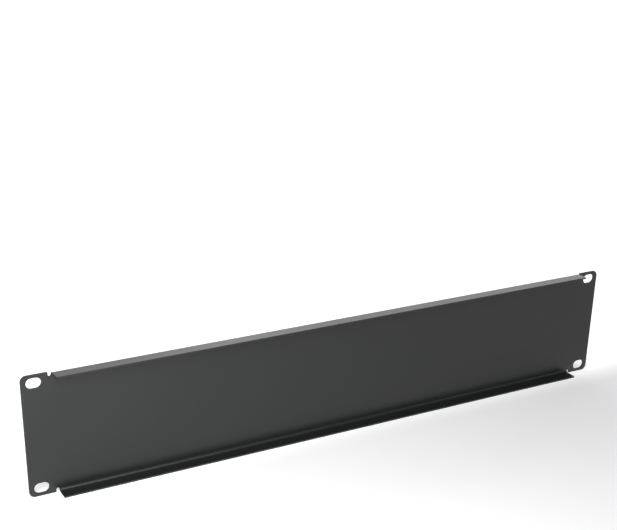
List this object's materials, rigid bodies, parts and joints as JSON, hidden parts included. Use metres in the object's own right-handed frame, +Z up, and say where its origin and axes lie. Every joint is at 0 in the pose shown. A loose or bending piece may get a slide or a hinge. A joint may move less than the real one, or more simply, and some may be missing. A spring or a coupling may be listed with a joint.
{
  "type": "rack blanking panel",
  "caption": "Folded sheet-steel blanking panel for an equipment rack, with rearward flanges along its long edges, rounded mounting ears and slotted screw holes.",
  "frame": {"origin": "middle of the pattern of screw slots, on the rear face of the sheet, where the ears bear on the rack's rails", "axes": "+X along the panel, +Y from the smooth front face to the rear, the way the flanges point, +Z up"},
  "size_m": [0.4826, 0.0115, 0.0882],
  "materials": {
    "powder_coat": "satin black powder coat with a fine texture"
  },
  "bodies": {
    "root": {"panel": "powder_coat"}
  },
  "joints": []
}
